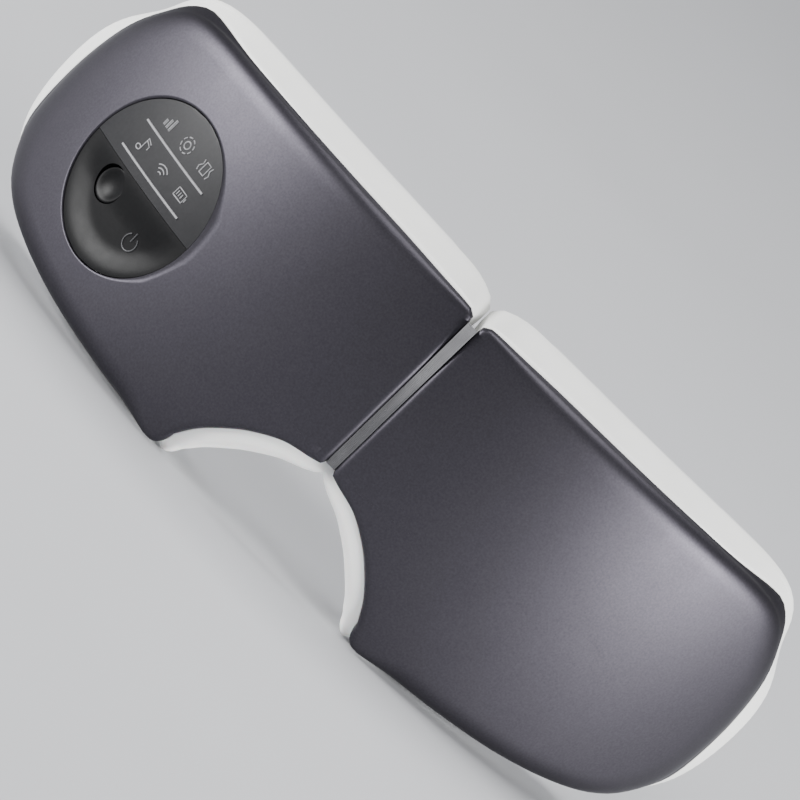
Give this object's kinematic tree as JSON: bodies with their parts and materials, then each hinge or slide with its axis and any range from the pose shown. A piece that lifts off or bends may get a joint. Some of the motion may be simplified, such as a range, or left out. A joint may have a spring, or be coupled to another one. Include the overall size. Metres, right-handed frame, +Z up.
{
  "type": "eye massager mask",
  "caption": "Folding eye massager mask: two curved pods with soft eye cushions, joined by a hinge behind the nose bridge, with a control panel.",
  "frame": {"origin": "centre of the mask's footprint, at the height of its lowest edge", "axes": "+Z up as worn, front faces -Y, the wearer's side is +Y, X runs from the control-panel half to the other half"},
  "size_m": [0.2138, 0.068, 0.0779],
  "materials": {
    "gunmetal_plastic": "satin gloss gunmetal lacquer on moulded plastic",
    "white_plastic": "fine satin white moulded plastic",
    "white_silicone": "matte white silicone",
    "cushion_leather": "soft light grey protein leather over foam",
    "grey_plastic": "matte grey moulded plastic",
    "grey_silicone": "matte grey silicone",
    "black_plastic": "satin black moulded plastic",
    "icon_window": "smoked glossy window with pale printed symbols",
    "steel": "turned steel",
    "circuit_board": "green solder mask",
    "heating_film": "amber film",
    "airbag_film": "thin welded film",
    "battery_sleeve": "shrink sleeve"
  },
  "bodies": {
    "left_half": {"left_front_cover": "gunmetal_plastic", "left_rear_casing": "white_plastic", "left_face_cushion": "cushion_leather", "left_massage_pad": "cushion_leather", "left_heating_film": "heating_film", "left_airbag": "airbag_film", "left_inner_frame": "grey_plastic", "left_nose_rim": "white_silicone", "left_speaker": "black_plastic", "left_vibration_motor": "steel", "left_strap_anchor": "white_plastic", "left_hinge_leaf": "grey_plastic", "left_hinge_screw_upper": "steel", "left_hinge_screw_lower": "steel", "hinge_pin": "steel", "fold_strip": "grey_silicone", "control_panel": "black_plastic", "icon_window": "icon_window", "power_switch": "black_plastic", "main_board": "circuit_board", "charging_port": "steel", "charging_board": "circuit_board"},
    "right_half": {"right_front_cover": "gunmetal_plastic", "right_rear_casing": "white_plastic", "right_face_cushion": "cushion_leather", "right_massage_pad": "cushion_leather", "right_heating_film": "heating_film", "right_airbag": "airbag_film", "right_inner_frame": "grey_plastic", "right_nose_rim": "white_silicone", "right_speaker": "black_plastic", "right_vibration_motor": "steel", "right_strap_anchor": "white_plastic", "right_hinge_leaf": "grey_plastic", "right_hinge_screw_upper": "steel", "right_hinge_screw_lower": "steel", "battery": "battery_sleeve", "air_pump": "black_plastic", "air_valve": "white_plastic", "air_tube": "white_silicone"},
    "button": {"power_button": "black_plastic"}
  },
  "joints": [
    {"name": "fold", "type": "hinge", "parent": "left_half", "child": "right_half", "pos_m": [0, -0.01244, 0.0488], "axis": [0, 0, 1], "range_deg": [0, 118]},
    {"name": "button_press", "type": "slide", "parent": "left_half", "child": "button", "axis": [0.6115, 0.7912, 0], "range_m": [0, 0.0005], "stiffness_N_per_m": 1500}
  ]
}
